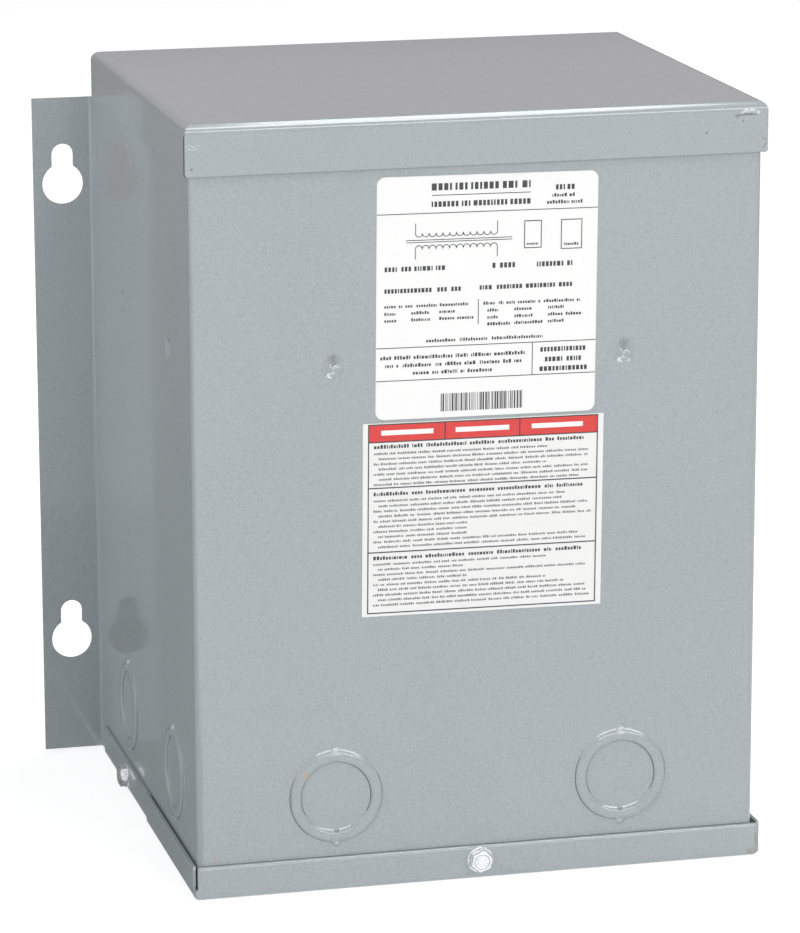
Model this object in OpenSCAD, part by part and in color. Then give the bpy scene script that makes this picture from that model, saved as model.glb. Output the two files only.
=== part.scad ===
// Dry-type transformer, wall mounted: a potted core and coil in a bent sheet-steel case.
// The front is at -Y, the wall is at +Y, and the case stands on its bottom cover at z = 0.
// The origin is on the centre line, half-way between the front screw head and the wall.

/* [Case] */
// Width over the two side walls
case_w = 213; // [190:1:240]
// Depth from the front wall to the outer face of the back panel
case_d = 184; // [165:1:210]
// Height from the bottom cover to the top of the lid
case_h = 288.3; // [270:0.1:330]
// Thickness of the wrapper and the back panel
sheet = 1.5; // [1.2:0.1:2]
// Outer radius of the bends in the wrapper and the back panel
bend_r = 2.5; // [2.1:0.1:3.5]

/* [Wall flanges] */
// Distance from the back panel to the wall
stand_off = 14.9; // [10:0.1:20]
// How far each flange reaches past its side wall
flange_w = 23.3; // [20:0.1:30]
// Gap between the flanges and the lips of the lid above them
flange_gap = 1.2; // [0.5:0.1:4]

/* [Keyholes] */
// Half the width of the slot that hangs on the bolt
slot_r = 4.35; // [3:0.05:5]
// Radius of the round entry for the bolt head
entry_r = 8.2; // [7:0.1:9]
// Distance from the centre of the entry up to the centre of the slot's end
key_drop = 11.7; // [10:0.1:15]
// Height of the lower entries
key_z = 47.3; // [30:0.1:60]
// Distance between the lower and upper entries
key_pitch = 186.7; // [160:0.1:195]

/* [Lid and bottom cover] */
// Thickness of the lid and the bottom cover
cover_sheet = 1.2; // [1:0.1:1.6]
// Gap between the wrapper and the lips of the lid
lid_fit = 0.4; // [0.2:0.05:0.8]
// Gap between the wrapper and the front and rear lips of the bottom cover
tray_fit = 0.1; // [0.1:0.05:0.5]
// Gap between each side wall and the side lips of the bottom cover when it is centred
tray_side_fit = 0.7; // [0.7:0.1:1]
// How far to the right of the centre the loose bottom cover sits
tray_shift = 0.6; // [-0.6:0.1:0.6]
// Gap on each side of the side walls in the rear notches of the bottom cover
notch_fit = 0.4; // [0.2:0.1:1]
// Height of the lips of the lid
lid_lip = 18.8; // [15:0.1:19]
// Outer radius of the bends of the lid
lid_bend_r = 3.5; // [2:0.1:4]
// Height of the lips of the bottom cover
tray_lip = 13.1; // [12.8:0.1:14]
// Outer radius of the bends of the bottom cover
tray_bend_r = 3; // [2:0.1:3.5]
// Width of the slots at the open corners of the lid and the bottom cover
corner_slot = 1; // [0.6:0.1:1.5]
// Distance from a bend to the end of a corner slot
slot_land = 4.3; // [4:0.1:5]
// How far the front run of each side lip of the bottom cover stands out from the rear run
joggle = 0.6; // [0.3:0.1:1]
// Distance from the front wall to the joggle
joggle_y = 92; // [70:1:100]
// How much shorter than the rear run's width the front lip of the bottom cover is at each end
lip_short = 0.9; // [0.5:0.1:1]
// Radius of the free corners of the front lips
lip_corner_r = 1; // [0.5:0.1:1.5]

/* [Knockouts] */
// Radius of the holes that the knockouts close
knock_r = 17.5; // [15:0.1:20]
// Radius of the inner disc of each knockout
disc_r = 13.1; // [11:0.1:14]
// Gap sheared around the ring and the disc
shear = 0.15; // [0.1:0.05:0.3]
// How far the ring stands out of the wall
ring_proud = 0.8; // [0.4:0.1:1]
// Radius of the rolled front edges of the ring
ring_edge_r = 0.65; // [0.1:0.05:0.7]
// Radius of the two domed tabs that hold the ring to the wall
tab_r = 1.8; // [1.2:0.1:2]
// Radius of the two tabs that hold the disc to the ring
disc_tab_r = 0.8; // [0.5:0.1:1]
// Height of the centres of the knockouts
knock_z = 36.2; // [33:0.1:50]
// Distance between the two front knockouts
front_pitch = 109; // [90:1:130]
// Distance between the two knockouts of each side
side_pitch = 91; // [80:1:100]
// Distance from the front wall to the middle of each pair of side knockouts
side_mid = 89.3; // [85:0.1:95]

/* [Dimples] */
// Height of the locating dimples
dimple_z = 197.9; // [170:0.1:220]
// Radius of each dimple at the surface
dimple_r = 4.4; // [4:0.1:5]
// Depth of each dimple
dimple_depth = 1.2; // [0.8:0.1:1.2]
// Radius of the bowl inside the flared rim of each dimple
bowl_r = 3.6; // [3:0.1:3.8]
// Depth of the flared rim
flare_depth = 0.3; // [0.1:0.05:0.4]

/* [Cover screws] */
// Radius of the shank
screw_r = 2.4; // [2:0.1:3]
// Radius of the flange under the head
washer_r = 4.95; // [4.5:0.05:5.2]
// Thickness of the flange under the head
washer_t = 0.9; // [0.6:0.1:1.2]
// Distance across the flats of the head
hex_af = 7.9; // [6.5:0.1:8]
// Height of the hexagon above its flange
hex_h = 2.8; // [2:0.1:4]
// Radius of the flat top inside the chamfer of the hexagon
hex_top_r = 3.3; // [2.6:0.1:3.6]
// Depth of the round dish in the top of the head
dish_depth = 0.5; // [0.2:0.1:1]
// Width of the flat rim around the dish
dish_rim = 0.5; // [0.3:0.1:1]
// Height of the cover screws
screw_z = 7.8; // [6.5:0.1:7.8]
// Length of the shank inside the wall
screw_grip = 6; // [3:0.5:12]
// Gap between the shank and its holes
screw_fit = 0.1; // [0.1:0.05:0.4]

/* [Labels] */
// Thickness of the two labels
label_t = 0.3; // [0.2:0.05:0.5]
// Width of the rating label
rating_w = 82.4; // [60:0.1:90]
// Height of the rating label
rating_h = 88.9; // [70:0.1:92]
// Corner radius of the rating label
rating_r = 3; // [1:0.1:6]
// Height of the bottom edge of the rating label
rating_z = 176.9; // [176:0.1:178]
// Sideways place of the rating label
rating_x = 2.2; // [-10:0.1:10]
// Width of the notice label
notice_w = 90.6; // [70:0.1:100]
// Height of the notice label
notice_h = 72.3; // [50:0.1:80]
// Gap between the two labels
label_gap = 1.2; // [0.5:0.1:5]
// Sideways place of the notice label
notice_x = 0.9; // [-10:0.1:10]
// How far both labels lean clockwise
label_lean = 0.6; // [0:0.1:2]

/* [Inside] */
// Height of the wiring compartment under the potted core and coil
compartment_h = 73; // [60:1:90]
// Depth of the side flanges of the back panel
pan_flange = 11; // [8:0.5:13]
// Gap between the back panel and the side walls
pan_fit = 0.2; // [0.1:0.1:0.5]

/* [Hidden] */
$fn = 64;

// How far the covers and the screw heads stand out from the wrapper
lid_reach = lid_fit + cover_sheet;
tray_reach = tray_fit + cover_sheet;
tray_side_reach = tray_side_fit + cover_sheet;
head_reach = washer_t + hex_h;
// How far the side lips of the shifted bottom cover stand out behind the joggle
left_reach = tray_side_reach - tray_shift;
right_reach = tray_side_reach + tray_shift;
// Places along Y
overall_d = tray_reach + head_reach + case_d + stand_off;
case_front = tray_reach + head_reach - overall_d / 2;
case_back = case_front + case_d;
wall_plane = case_back + stand_off;
// Heights
lid_under = case_h - cover_sheet;
lid_lip_z = case_h - lid_lip;
flange_top = lid_lip_z - flange_gap;
// Places of what repeats
side_front_y = case_front + side_mid - side_pitch / 2;
side_rear_y = case_front + side_mid + side_pitch / 2;
key_x = case_w / 2 + flange_w / 2;
screw_hole_r = screw_r + screw_fit;
hex_dish_r = hex_top_r - dish_rim;
bend_in = bend_r - sheet;
// How far each screw head is turned: front, left and right
head_turns = [20, 47, 8];
// How far cuts run past what they cut, and joined pieces run into each other
over = 1;

paint = "#a9adb0";
paint_dark = "#9da2a5";
zinc = "#d5d8da";
white = "#f2f2ee";
resin = "#3a3835";

// ---- Faces of the case ----

// Puts what is drawn in front of the plane y = 0 on the front wall
module on_front(x) {
    translate([x, case_front, 0])
        children();
}

// The same on a side wall: side is -1 for the left and 1 for the right
module on_side(side, y) {
    translate([side * case_w / 2, y, 0])
        rotate([0, 0, side * 90])
            children();
}

// Calls its children at each knockout's place
module at_all_knockouts() {
    for (side = [-1, 1]) {
        on_front(side * front_pitch / 2)
            children();
        for (y = [side_front_y, side_rear_y])
            on_side(side, y)
                children();
    }
}

// Lays a cylinder along Y with its front face at y = front
module along_y(front, z, length, r) {
    translate([0, front + length, z])
        rotate([90, 0, 0])
            cylinder(h = length, r = r);
}

// ---- Outlines ----

// A rectangle from y = 0 to depth with its two front corners rounded
module front_rounded(width, depth, r) {
    translate([-width / 2, r])
        square([width, depth - r]);
    translate([r - width / 2, 0])
        square([width - 2 * r, r]);
    for (side = [-1, 1])
        translate([side * (width / 2 - r), r])
            circle(r);
}

// A rectangle that runs right and down from a rounded corner at the origin
module corner_rounded(width, depth, r) {
    translate([r, -depth])
        square([width - r, depth]);
    translate([0, -depth])
        square([r, depth - r]);
    translate([r, -r])
        circle(r);
}

// One wall flange in plan: a leg inside the side wall's end, the bend and the flat strip
module flange_plan(side) {
    leg = 2 * bend_r + over;
    mirror([side < 0 ? 1 : 0, 0])
        translate([case_w / 2, wall_plane])
            difference() {
                translate([-sheet, 0])
                    corner_rounded(sheet + flange_w, leg, bend_r);
                translate([0, -sheet])
                    corner_rounded(flange_w + over, leg, bend_in);
            }
}

// The wrapper in plan, from the front wall to y = back
module wrap_plan(back) {
    length = back - case_front;
    translate([0, case_front])
        difference() {
            front_rounded(case_w, length, bend_r);
            translate([0, sheet])
                front_rounded(case_w - 2 * sheet, length, bend_in);
        }
}

// ---- The wrapper ----

// A keyhole: a round entry with a slot above it, cut along Y
module keyhole() {
    depth = 2 * over + sheet;
    front = wall_plane - sheet - over;
    along_y(front, 0, depth, entry_r);
    along_y(front, key_drop, depth, slot_r);
    translate([-slot_r, front, 0])
        cube([2 * slot_r, depth, key_drop]);
}

// Half the section of a dimple, with its depth upwards: a bowl inside a flared rim
module dimple_section() {
    flare_r = dimple_r + over * (dimple_r - bowl_r) / flare_depth;
    bowl_depth = dimple_depth - flare_depth;
    ball_r = (bowl_r * bowl_r + bowl_depth * bowl_depth) / (2 * bowl_depth);
    intersection() {
        translate([0, dimple_depth - ball_r])
            circle(ball_r);
        square([bowl_r, dimple_depth]);
    }
    polygon([[0, -over], [flare_r, -over], [bowl_r, flare_depth], [0, flare_depth]]);
}

// A round dent pressed into the wall from the front
module dimple_cut() {
    translate([0, 0, dimple_z])
        rotate([-90, 0, 0])
            rotate_extrude()
                dimple_section();
}

// A knockout's hole with the two notches of its tabs
module knockout_hole() {
    along_y(-over, knock_z, sheet + 2 * over, knock_r);
    for (end = [-1, 1])
        along_y(-over, knock_z + end * knock_r, sheet + 2 * over, tab_r);
}

module screw_hole(length, r) {
    along_y(-length / 2, screw_z, length, r);
}

module wrapper() {
    color(paint)
        difference() {
            union() {
                translate([0, 0, cover_sheet])
                    linear_extrude(flange_top - cover_sheet) {
                        wrap_plan(wall_plane - bend_r);
                        flange_plan(-1);
                        flange_plan(1);
                    }
                translate([0, 0, cover_sheet])
                    linear_extrude(lid_under - cover_sheet)
                        wrap_plan(case_back);
            }
            for (side = [-1, 1])
                for (z = [key_z, key_z + key_pitch])
                    translate([side * key_x, 0, z])
                        keyhole();
            at_all_knockouts() {
                knockout_hole();
                dimple_cut();
            }
            on_front(0)
                screw_hole(4 * sheet, screw_hole_r);
            for (side = [-1, 1])
                on_side(side, side_rear_y)
                    screw_hole(4 * sheet, screw_hole_r);
        }
}

// ---- The back panel ----

// The panel with its two side flanges turned towards the wall, in plan
module pan_plan(depth) {
    width = case_w - 2 * sheet - 2 * pan_fit;
    translate([0, case_back - sheet])
        difference() {
            front_rounded(width, sheet + depth, bend_r);
            translate([0, sheet])
                front_rounded(width - 2 * sheet, sheet + depth, bend_in);
        }
}

module back_panel() {
    flange_foot = tray_lip + 2 * tray_reach;
    flange_head = flange_top - lid_reach;
    color(paint_dark) {
        translate([0, 0, cover_sheet])
            linear_extrude(lid_under - cover_sheet)
                intersection() {
                    pan_plan(pan_flange);
                    translate([-case_w / 2, case_back - sheet])
                        square([case_w, sheet]);
                }
        translate([0, 0, flange_foot])
            linear_extrude(flange_head - flange_foot)
                pan_plan(pan_flange);
    }
}

// ---- Lid and bottom cover ----

// A block with its four upper edges rounded, standing on z = 0 and open to any height
module capped_block(width, depth, height, r) {
    intersection() {
        rotate([90, 0, 0])
            translate([0, 0, -depth])
                linear_extrude(depth)
                    top_rounded(width, height, r);
        translate([-width / 2, depth / 2, 0])
            rotate([90, 0, 90])
                linear_extrude(width)
                    top_rounded(depth, height, r);
    }
}

// An upright rectangle centred on x = 0 with its two upper corners rounded
module top_rounded(width, height, r) {
    translate([-width / 2, 0])
        square([width, height - r]);
    translate([r - width / 2, height - r])
        square([width - 2 * r, r]);
    for (side = [-1, 1])
        translate([side * (width / 2 - r), height - r])
            circle(r);
}

// What rounds the two lower corners of a front lip whose foot is at z = 0
module lip_corner_cuts(width) {
    back = cover_sheet + corner_slot / 2;
    for (side = [-1, 1])
        translate([side * (width / 2 - lip_corner_r), back, lip_corner_r])
            rotate([90, 0, 0])
                linear_extrude(back + over)
                    difference() {
                        translate([side > 0 ? 0 : -lip_corner_r - over, -lip_corner_r - over])
                            square(lip_corner_r + over);
                        circle(lip_corner_r);
                    }
}

// A shallow cap of bent sheet with four lips that point down, and slots at its corners
module cap(width, depth, height, r) {
    difference() {
        capped_block(width, depth, height, r);
        translate([0, cover_sheet, -cover_sheet])
            capped_block(
                width - 2 * cover_sheet, depth - 2 * cover_sheet, height, r - cover_sheet
            );
        for (side = [-1, 1])
            for (y = [cover_sheet, depth - cover_sheet - corner_slot])
                translate([side * (width / 2 - cover_sheet) - 2 * cover_sheet, y, -over])
                    cube([4 * cover_sheet, corner_slot, height - slot_land + over]);
        lip_corner_cuts(width);
    }
}

module lid() {
    color(paint)
        translate([0, case_front - lid_reach, lid_lip_z])
            cap(case_w + 2 * lid_reach, case_d + 2 * lid_reach, lid_lip, lid_bend_r);
}

// The bottom cover's outer or inner block: reach moves its sides out and inset shrinks it
module tray_block(reach, height, inset) {
    width = case_w + 2 * (tray_side_reach + reach) - 2 * inset;
    depth = case_d + 2 * tray_reach - 2 * inset;
    translate([0, inset, 0])
        capped_block(width, depth, height, tray_bend_r - inset);
}

// Keeps what lies between two distances from the front of the bottom cover
module tray_run(from, to) {
    intersection() {
        children();
        translate([-case_w, from, -over])
            cube([2 * case_w, to - from, tray_lip + 2 * over]);
    }
}

// The bottom cover upside down, with its front lip at y = 0. Its front corners are notched
// beside the front lip, and two notches in its rear edge let the side walls pass to their flanges.
module tray_shape() {
    step = tray_reach + joggle_y;
    end = case_d + 2 * tray_reach;
    lip_back = cover_sheet + corner_slot;
    side_lip_x = case_w / 2 + tray_side_reach;
    lip_w = 2 * (side_lip_x - lip_short);
    wall_x = (case_w - sheet) / 2;
    notch_w = sheet + 2 * notch_fit;
    difference() {
        union() {
            tray_run(0, lip_back)
                tray_block(0, tray_lip, 0);
            tray_run(lip_back, step)
                tray_block(joggle, tray_lip, 0);
            tray_run(step, end)
                tray_block(0, tray_lip, 0);
        }
        translate([0, 0, -cover_sheet]) {
            tray_run(0, lip_back)
                tray_block(0, tray_lip, cover_sheet);
            tray_run(lip_back, step - cover_sheet)
                tray_block(joggle, tray_lip, cover_sheet);
            tray_run(step - cover_sheet, end)
                tray_block(0, tray_lip, cover_sheet);
        }
        lip_corner_cuts(lip_w);
        for (side = [-1, 1]) {
            translate([side * (lip_w / 2 + over) - over, -over, -over])
                cube([2 * over, lip_back + over, tray_lip - slot_land + over]);
            translate([side * side_lip_x - tray_side_reach, cover_sheet, -over])
                cube([2 * tray_side_reach, corner_slot, tray_lip - slot_land + over]);
            translate([side * wall_x - tray_shift - notch_w / 2, end - tray_bend_r, -over])
                cube([notch_w, tray_bend_r + over, tray_lip - cover_sheet + over]);
        }
    }
}

module bottom_cover() {
    color(paint)
        difference() {
            translate([tray_shift, case_front - tray_reach, tray_lip])
                mirror([0, 0, 1])
                    tray_shape();
            on_front(0)
                screw_hole(4 * tray_reach, screw_hole_r);
            for (side = [-1, 1])
                on_side(side, side_rear_y)
                    screw_hole(4 * tray_side_reach, screw_hole_r);
        }
}

// ---- Inside ----

// The core and coil, potted into the upper part of the case above the wiring compartment
module potted_core() {
    color(resin)
        translate([0, case_front + sheet, compartment_h])
            linear_extrude(lid_under - compartment_h)
                front_rounded(case_w - 2 * sheet, case_d - 2 * sheet, bend_in);
}

// ---- Knockouts ----

// Half the ring's section: an upright strip with its two front edges rolled over
module ring_section(inner, outer) {
    translate([inner, 0])
        square([outer - inner, sheet - ring_edge_r]);
    translate([inner + ring_edge_r, 0])
        square([outer - inner - 2 * ring_edge_r, sheet]);
    for (x = [inner, outer - 2 * ring_edge_r])
        translate([x + ring_edge_r, sheet - ring_edge_r])
            circle(ring_edge_r);
}

// A tab of the ring: a pad level with the wall under a dome as high as the ring
module ring_tab() {
    dome_r = (tab_r * tab_r + ring_proud * ring_proud) / (2 * ring_proud);
    along_y(0, 0, sheet - ring_proud, tab_r);
    intersection() {
        translate([0, dome_r - ring_proud, 0])
            sphere(dome_r);
        along_y(-ring_proud, 0, sheet, tab_r);
    }
}

// The outer ring of a knockout, standing proud of the wall, with its two tabs
module ring_shape() {
    difference() {
        union() {
            translate([0, sheet - ring_proud, knock_z])
                rotate([90, 0, 0])
                    rotate_extrude()
                        ring_section(disc_r + shear, knock_r - shear);
            for (end = [-1, 1])
                translate([0, 0, knock_z + end * knock_r])
                    ring_tab();
        }
        for (end = [-1, 1])
            along_y(-over - ring_proud, knock_z + end * disc_r, sheet + 2 * over, disc_tab_r);
    }
}

// The inner disc of a knockout, level with the wall, with its two tabs
module disc_shape() {
    along_y(0, knock_z, sheet, disc_r);
    for (end = [-1, 1])
        along_y(0, knock_z + end * disc_r, sheet, disc_tab_r);
}

module knockout_ring() {
    color(paint)
        ring_shape();
}

module knockout_disc() {
    color(paint)
        disc_shape();
}

// ---- Cover screws ----

// A hexagon head standing on z = 0, chamfered and dished at the top
module hex_head() {
    corner_r = hex_af / 2 / cos(30);
    chamfer_h = (corner_r - hex_top_r) * tan(30);
    dish_r = (hex_dish_r * hex_dish_r + dish_depth * dish_depth) / (2 * dish_depth);
    difference() {
        intersection() {
            cylinder(h = hex_h, r = corner_r, $fn = 6);
            union() {
                cylinder(h = hex_h - chamfer_h, r = corner_r + over);
                translate([0, 0, hex_h - chamfer_h])
                    cylinder(h = chamfer_h, r1 = corner_r, r2 = hex_top_r);
            }
        }
        translate([0, 0, hex_h - dish_depth + dish_r])
            sphere(dish_r);
    }
}

// A hex washer head screw; its head is turned by turn and sits on a lip that reaches out so far
module cover_screw(turn, reach) {
    seat = -reach;
    color(zinc) {
        along_y(seat - washer_t, screw_z, washer_t, washer_r);
        translate([0, seat - washer_t, screw_z])
            rotate([90, 0, 0])
                rotate([0, 0, turn])
                    hex_head();
        along_y(seat, screw_z, screw_grip, screw_r);
    }
}

// ---- Labels ----

// A plate on the front wall whose lower edge is at z = 0, with rounded corners where r > 0
module label_plate(width, height, r) {
    rotate([90, 0, 0])
        linear_extrude(label_t) {
            translate([-width / 2, r])
                square([width, height - 2 * r]);
            translate([r - width / 2, 0])
                square([width - 2 * r, height]);
            if (r > 0)
                for (x = [-1, 1], z = [r, height - r])
                    translate([x * (width / 2 - r), z])
                        circle(r);
        }
}

module rating_label() {
    color(white)
        translate([rating_x, case_front, rating_z])
            rotate([0, label_lean, 0])
                label_plate(rating_w, rating_h, rating_r);
}

module notice_label() {
    color(white)
        translate([notice_x, case_front, rating_z - label_gap - notice_h])
            rotate([0, label_lean, 0])
                label_plate(notice_w, notice_h, 0);
}

wrapper();
back_panel();
lid();
bottom_cover();
potted_core();
on_front(-front_pitch / 2) knockout_ring();  // ring_front_left
on_front(front_pitch / 2) knockout_ring();  // ring_front_right
on_side(-1, side_front_y) knockout_ring();  // ring_left_front
on_side(-1, side_rear_y) knockout_ring();  // ring_left_rear
on_side(1, side_front_y) knockout_ring();  // ring_right_front
on_side(1, side_rear_y) knockout_ring();  // ring_right_rear
on_front(-front_pitch / 2) knockout_disc();  // disc_front_left
on_front(front_pitch / 2) knockout_disc();  // disc_front_right
on_side(-1, side_front_y) knockout_disc();  // disc_left_front
on_side(-1, side_rear_y) knockout_disc();  // disc_left_rear
on_side(1, side_front_y) knockout_disc();  // disc_right_front
on_side(1, side_rear_y) knockout_disc();  // disc_right_rear
on_front(0) cover_screw(head_turns[0], tray_reach);  // screw_front
on_side(-1, side_rear_y) cover_screw(head_turns[1], left_reach);  // screw_left
on_side(1, side_rear_y) cover_screw(head_turns[2], right_reach);  // screw_right
rating_label();
notice_label();
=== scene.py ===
"""Dresses the dry-type transformer: powder coat, zinc plate, printed labels, tie points, studio."""

import math
import random

import bmesh
import bpy
from bpy.props import FloatProperty, FloatVectorProperty, IntProperty, PointerProperty
from bpy.types import Operator, Panel, PropertyGroup
from mathutils import Matrix, Vector


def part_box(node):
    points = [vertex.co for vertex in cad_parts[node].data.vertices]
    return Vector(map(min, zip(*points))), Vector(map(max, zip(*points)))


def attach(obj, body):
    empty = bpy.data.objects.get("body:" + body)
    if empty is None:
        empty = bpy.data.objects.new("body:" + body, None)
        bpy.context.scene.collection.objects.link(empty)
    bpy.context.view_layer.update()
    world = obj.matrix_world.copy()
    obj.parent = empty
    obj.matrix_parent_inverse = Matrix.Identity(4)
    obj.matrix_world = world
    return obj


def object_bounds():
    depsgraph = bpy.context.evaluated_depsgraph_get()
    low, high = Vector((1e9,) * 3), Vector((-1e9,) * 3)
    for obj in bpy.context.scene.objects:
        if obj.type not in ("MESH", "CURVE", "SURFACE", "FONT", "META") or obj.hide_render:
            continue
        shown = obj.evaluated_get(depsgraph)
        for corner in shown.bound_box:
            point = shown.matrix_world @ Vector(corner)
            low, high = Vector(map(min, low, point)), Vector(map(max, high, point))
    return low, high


bl_info = {
    "name": "Dry-Type Transformer Dressing",
    "version": (1, 0, 0),
    "blender": (4, 5, 0),
    "location": "View3D > Sidebar > Transformer",
    "description": "Paints, plates and labels a wall-mounted dry-type transformer and lights it",
    "category": "Object",
}

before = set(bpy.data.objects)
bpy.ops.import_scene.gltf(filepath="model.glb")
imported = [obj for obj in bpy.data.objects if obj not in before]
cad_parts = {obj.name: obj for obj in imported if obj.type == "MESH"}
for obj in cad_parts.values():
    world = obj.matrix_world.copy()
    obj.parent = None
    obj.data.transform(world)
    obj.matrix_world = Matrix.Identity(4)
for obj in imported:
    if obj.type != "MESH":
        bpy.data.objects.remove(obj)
CAD_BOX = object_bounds()
MM = 0.001
BODY = "root"
KNOCKOUTS = ("front_left", "front_right", "left_front", "left_rear", "right_front", "right_rear")


def height_of(node):
    """Height of a node's upper edge above the base."""
    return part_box(node)[1].z


# ---- Settings ----


class PaintSettings(PropertyGroup):
    """Powder coat on the sheet steel, what shows where it is worn, and painted shade and painted highlights."""

    paint: FloatVectorProperty(
        name="Paint",
        description="Colour of the grey powder coat",
        subtype="COLOR",
        size=4,
        min=0,
        max=1,
        default=(0.375, 0.418, 0.436, 1),
    )
    shade: FloatVectorProperty(
        name="Thin paint",
        description="Colour of the powder coat where it is thin, such as on the back panel",
        subtype="COLOR",
        size=4,
        min=0,
        max=1,
        default=(0.33, 0.368, 0.386, 1),
    )
    # Scraped paint and painted highlights: the colour of real scratches and chips, and also of painted highlights on
    # the knockouts' top tabs and on the tie points' petals.
    scraped_and_highlight: FloatVectorProperty(
        name="Scraped paint",
        description="Colour of scratches and chips in the coat",
        subtype="COLOR",
        size=4,
        min=0,
        max=1,
        default=(0.72, 0.74, 0.74, 1),
    )
    rust: FloatVectorProperty(
        name="Rust",
        description="Colour of the rust spots",
        subtype="COLOR",
        size=4,
        min=0,
        max=1,
        default=(0.62, 0.33, 0.16, 1),
    )
    # Grime and painted shade: the colour of real dark specks, and also of painted shade in the gaps at the lid's
    # corner slots, along the bottom cover's joint, in the dimples' upper hollows and at the tie points' centres.
    grime_and_shade: FloatVectorProperty(
        name="Grime",
        description="Colour of dark specks and of the dirt in narrow gaps",
        subtype="COLOR",
        size=4,
        min=0,
        max=1,
        default=(0.05, 0.045, 0.04, 1),
    )
    stain: FloatVectorProperty(
        name="Stain",
        description="Colour of the faint brown tint at some cut edges",
        subtype="COLOR",
        size=4,
        min=0,
        max=1,
        default=(0.3, 0.2, 0.12, 1),
    )
    roughness: FloatProperty(
        name="Roughness",
        description="Roughness of the semi-gloss coat",
        subtype="FACTOR",
        min=0,
        max=1,
        default=0.08,
    )
    peel_size: FloatProperty(
        name="Orange peel size",
        description="Distance from one swell of the orange peel to the next",
        unit="LENGTH",
        precision=5,
        default=1.5 * MM,
    )
    peel_depth: FloatProperty(
        name="Orange peel depth",
        description="Height of the swells of the orange peel",
        unit="LENGTH",
        precision=6,
        default=0.0018 * MM,
    )
    edge_round: FloatProperty(
        name="Edge rounding",
        description="Radius at which the coat rounds the sheet's cut edges",
        unit="LENGTH",
        precision=5,
        default=0.35 * MM,
    )
    lip_round: FloatProperty(
        name="Lip rounding",
        description="Radius at which the coat rounds the bottom cover's edges",
        unit="LENGTH",
        precision=5,
        default=0.6 * MM,
    )
    knockout_round: FloatProperty(
        name="Knockout rounding",
        description="Radius at which the coat rounds the pressed edges of the knockouts",
        unit="LENGTH",
        precision=5,
        default=0.3 * MM,
    )


class ScrewSettings(PropertyGroup):
    """Plating of the cover screws."""

    zinc: FloatVectorProperty(
        name="Zinc",
        description="Colour of the bright zinc plate",
        subtype="COLOR",
        size=4,
        min=0,
        max=1,
        default=(0.8, 0.82, 0.85, 1),
    )
    # Painted shade: the colour of the dark lines round the foot, the rim and the dish of the screw heads.
    shaded_zinc: FloatVectorProperty(
        name="Dull zinc",
        description="Colour of the plate in corners and along worn edges",
        subtype="COLOR",
        size=4,
        min=0,
        max=1,
        default=(0.08, 0.085, 0.09, 1),
    )
    roughness: FloatProperty(
        name="Roughness",
        description="Roughness of the zinc plate",
        subtype="FACTOR",
        min=0,
        max=1,
        default=0.24,
    )
    edge_round: FloatProperty(
        name="Edge rounding",
        description="Radius of the rounded edges of the screw heads",
        unit="LENGTH",
        precision=5,
        default=0.35 * MM,
    )
    head_width: FloatProperty(
        name="Head width",
        description="Width of the hexagon across its flats",
        unit="LENGTH",
        precision=5,
        default=7.9 * MM,
    )
    dish_width: FloatProperty(
        name="Dish width",
        description="Width of the dish in the head",
        unit="LENGTH",
        precision=5,
        default=5.6 * MM,
    )


class TieSettings(PropertyGroup):
    """The star-pierced tie points at the bottom of the dimples."""

    height: FloatProperty(
        name="Height",
        description="Height of the tie points above the base",
        unit="LENGTH",
        precision=4,
        default=197.9 * MM,
    )
    radius: FloatProperty(
        name="Radius",
        description="Radius of each tie point",
        unit="LENGTH",
        precision=5,
        default=3.0 * MM,
    )
    dimple_depth: FloatProperty(
        name="Dimple depth",
        description="Depth of the dimple that the tie point sits in",
        unit="LENGTH",
        precision=5,
        default=1.2 * MM,
    )
    dimple_ball: FloatProperty(
        name="Dimple ball",
        description="Radius of the ball that the dimple is pressed with",
        unit="LENGTH",
        precision=5,
        default=7.65 * MM,
    )
    slope: FloatProperty(
        name="Petal slope",
        description="Slope of the walls of the pressed petals",
        subtype="ANGLE",
        default=math.radians(22),
    )


class LabelSettings(PropertyGroup):
    """Film and inks of the two labels."""

    film: FloatVectorProperty(
        name="Film",
        description="Colour of the white label film",
        subtype="COLOR",
        size=4,
        min=0,
        max=1,
        default=(0.955, 0.955, 0.95, 1),
    )
    notice_film: FloatVectorProperty(
        name="Notice film",
        description="Colour of the second label's film",
        subtype="COLOR",
        size=4,
        min=0,
        max=1,
        default=(0.892, 0.888, 0.882, 1),
    )
    ink: FloatVectorProperty(
        name="Dark ink",
        description="Colour of the dark ink",
        subtype="COLOR",
        size=4,
        min=0,
        max=1,
        default=(0.045, 0.045, 0.048, 1),
    )
    grey_ink: FloatVectorProperty(
        name="Grey ink",
        description="Colour of the ink of the fine lines",
        subtype="COLOR",
        size=4,
        min=0,
        max=1,
        default=(0.15, 0.15, 0.157, 1),
    )
    band_ink: FloatVectorProperty(
        name="Band ink",
        description="Colour of the heading band of the second label",
        subtype="COLOR",
        size=4,
        min=0,
        max=1,
        default=(0.72, 0.058, 0.052, 1),
    )
    lean: FloatProperty(
        name="Lean",
        description="How far both labels lean clockwise",
        subtype="ANGLE",
        default=math.radians(0.6),
    )
    ink_depth: FloatProperty(
        name="Ink thickness",
        description="Thickness of the printed ink",
        unit="LENGTH",
        precision=6,
        default=0.02 * MM,
    )


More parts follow.
